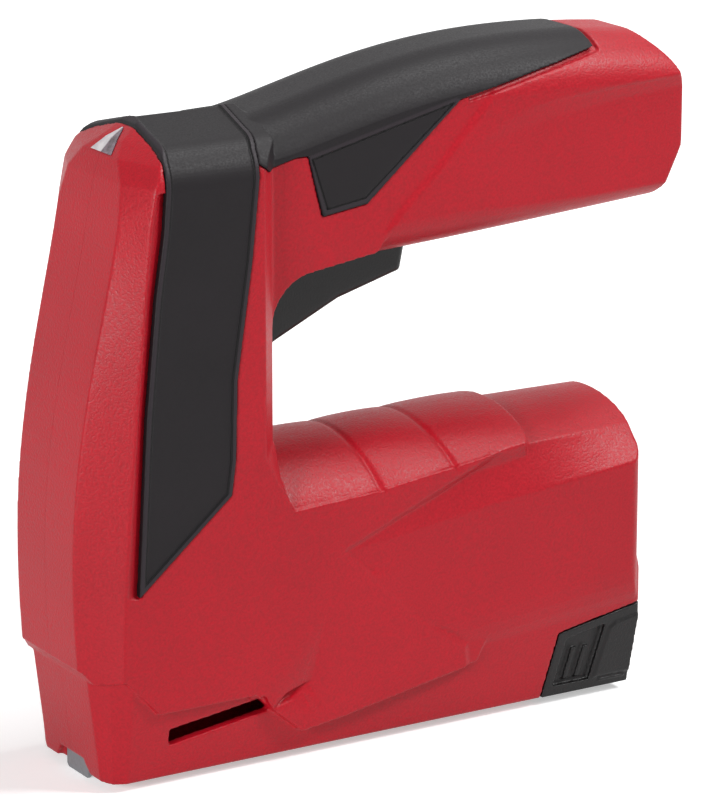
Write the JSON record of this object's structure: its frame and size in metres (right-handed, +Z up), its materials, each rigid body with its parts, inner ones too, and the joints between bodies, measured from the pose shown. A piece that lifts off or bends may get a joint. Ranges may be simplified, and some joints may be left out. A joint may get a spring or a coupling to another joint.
{
  "type": "cordless staple gun",
  "caption": "Cordless staple gun with a tall striker column, rubber grips, a curved finger trigger and a pull-out staple magazine closed by a black cap.",
  "frame": {"origin": "staple exit: centre of the driver blade on the plane of the base", "axes": "+X rearward along the magazine, +Y across to the side with the screw heads, +Z up along the driver blade"},
  "size_m": [0.1785, 0.0494, 0.1769],
  "materials": {
    "red_plastic": "finely textured moulded plastic",
    "grip_rubber": "satin moulded rubber",
    "black_plastic": "fine matte moulded plastic",
    "clear_lens": "clear polished plastic",
    "spring_steel": "plain drawn wire",
    "steel": "ground steel",
    "zinc_steel": "zinc-plated sheet",
    "black_steel": "black oxide",
    "cast_alloy": "die-cast alloy, as cast",
    "green_board": "solder-masked board",
    "cell_wrap": "shrink sleeve",
    "nickel": "nickel strip",
    "bronze": "sintered bronze",
    "pale_plastic": "natural moulded plastic",
    "led_clear": "clear epoxy"
  },
  "bodies": {
    "main_body": {"housing_left": "red_plastic", "housing_right": "red_plastic", "housing_screws": "black_steel", "grip_band": "grip_rubber", "grip_top": "grip_rubber", "status_lens": "clear_lens", "status_led": "led_clear", "control_board": "green_board", "board_parts": "black_plastic", "board_screws": "zinc_steel", "charging_socket": "black_plastic", "battery_cell": "cell_wrap", "battery_tabs": "nickel", "trigger_switch": "black_plastic", "trigger_pin": "steel", "trigger_spring": "spring_steel", "motor_can": "zinc_steel", "motor_end_cap": "black_plastic", "motor_terminals": "nickel", "gearbox_case": "pale_plastic", "gearbox_screws": "zinc_steel", "drive_frame": "cast_alloy", "output_bearing": "bronze", "main_spring": "spring_steel", "spring_seat": "pale_plastic", "bumpers": "grip_rubber", "nose_plate": "zinc_steel", "nose_screws": "zinc_steel", "contact_spring": "spring_steel", "safety_switch": "black_plastic", "magazine_channel": "zinc_steel"},
    "trigger_body": {"trigger": "black_plastic"},
    "button_body": {"switch_button": "pale_plastic"},
    "hammer_body": {"hammer": "black_steel", "driver_blade": "steel", "blade_rivets": "steel"},
    "lifter_body": {"lifter_wheel": "steel", "output_shaft": "steel", "wheel_clip": "black_steel"},
    "contact_body": {"nose_contact": "zinc_steel", "safety_plunger": "pale_plastic"},
    "magazine_body": {"magazine_cap": "black_plastic", "magazine_rail": "zinc_steel", "pusher_rod": "steel", "pusher_spring": "spring_steel"},
    "pusher_body": {"staple_pusher": "black_plastic"}
  },
  "joints": [
    {"name": "hammer_slide", "type": "slide", "parent": "main_body", "child": "hammer_body", "axis": [0, 0, 1], "range_m": [0, 0.016], "stiffness_N_per_m": 2500, "springref_m": -0.01, "deforming": ["main_spring"]},
    {"name": "lifter_spin", "type": "hinge", "parent": "main_body", "child": "lifter_body", "pos_m": [0.016, 0, 0.05], "axis": [-1, 0, 0], "range_deg": [-0.5, 92]},
    {"name": "trigger_pull", "type": "hinge", "parent": "main_body", "child": "trigger_body", "pos_m": [0.08, 0, 0.1314], "axis": [0, 1, 0], "range_deg": [0, 7], "stiffness_Nm_per_rad": 0.3, "springref_deg": -11.46, "deforming": ["trigger_spring"]},
    {"name": "button_slide", "type": "slide", "parent": "main_body", "child": "button_body", "axis": [1, 0, 0], "range_m": [0, 0.00078]},
    {"name": "contact_slide", "type": "slide", "parent": "main_body", "child": "contact_body", "axis": [0, 0, 1], "range_m": [0, 0.0023], "stiffness_N_per_m": 1200, "springref_m": -0.004, "deforming": ["contact_spring"]},
    {"name": "magazine_slide", "type": "slide", "parent": "main_body", "child": "magazine_body", "axis": [1, 0, 0], "range_m": [0, 0.095]},
    {"name": "pusher_slide", "type": "slide", "parent": "magazine_body", "child": "pusher_body", "axis": [1, 0, 0], "range_m": [0, 0.085], "stiffness_N_per_m": 20, "springref_m": -0.02, "deforming": ["pusher_spring"]}
  ],
  "couplings": [
    {"joint": "lifter_spin", "follows": "hammer_slide", "rad_per_m": 100},
    {"joint": "button_slide", "follows": "trigger_pull", "m_per_rad": 0.0062}
  ]
}
